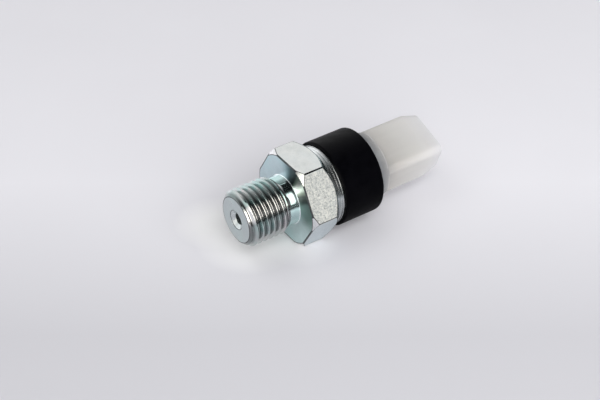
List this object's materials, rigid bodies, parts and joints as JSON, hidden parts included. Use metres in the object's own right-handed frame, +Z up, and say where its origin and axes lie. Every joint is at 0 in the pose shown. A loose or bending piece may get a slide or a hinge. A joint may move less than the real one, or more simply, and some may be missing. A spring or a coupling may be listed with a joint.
{
  "type": "oil pressure sender",
  "caption": "Threaded steel oil pressure sender with a hexagon, a crimped diaphragm switch, a black collar and a pale plug shroud round its terminal blades.",
  "frame": {"origin": "bottom centre of the bounding box, on the surface that the hexagon's lower flat rests on", "axes": "+X along the sender's axis from the threaded end to the plug, +Z up from the lower hexagon flat"},
  "size_m": [0.0542, 0.0242, 0.021],
  "materials": {
    "zinc_plated_steel": "bright zinc plate",
    "spring_steel": "plain",
    "brass": "plain",
    "tinned_brass": "tinned",
    "black_rubber": "matte",
    "black_plastic": "satin",
    "brown_phenolic": "matte",
    "amber_film": "gloss",
    "translucent_plastic": "translucent satin"
  },
  "bodies": {
    "sender": {"steel_body": "zinc_plated_steel", "diaphragm": "amber_film", "diaphragm_seal": "black_rubber", "contact_carrier": "brown_phenolic", "fixed_contact": "brass", "contact_spring": "spring_steel", "spring_cup": "brass", "adjusting_screw": "brass", "screw_bush": "brass", "terminal_base": "brown_phenolic", "base_seal": "black_rubber", "clamp_washer": "zinc_plated_steel", "terminal_blade_a": "tinned_brass", "terminal_blade_b": "tinned_brass", "terminal_rivet_a": "brass", "terminal_rivet_b": "brass", "black_collar": "black_plastic", "connector_housing": "translucent_plastic"},
    "contact_piston": {"plunger": "brown_phenolic", "moving_contact": "brass"}
  },
  "joints": [
    {"name": "contact_travel", "type": "slide", "parent": "sender", "child": "contact_piston", "axis": [1, 0, 0], "range_m": [0, 0.0008], "stiffness_N_per_m": 400, "springref_m": -0.001, "deforming": ["contact_spring"]}
  ]
}
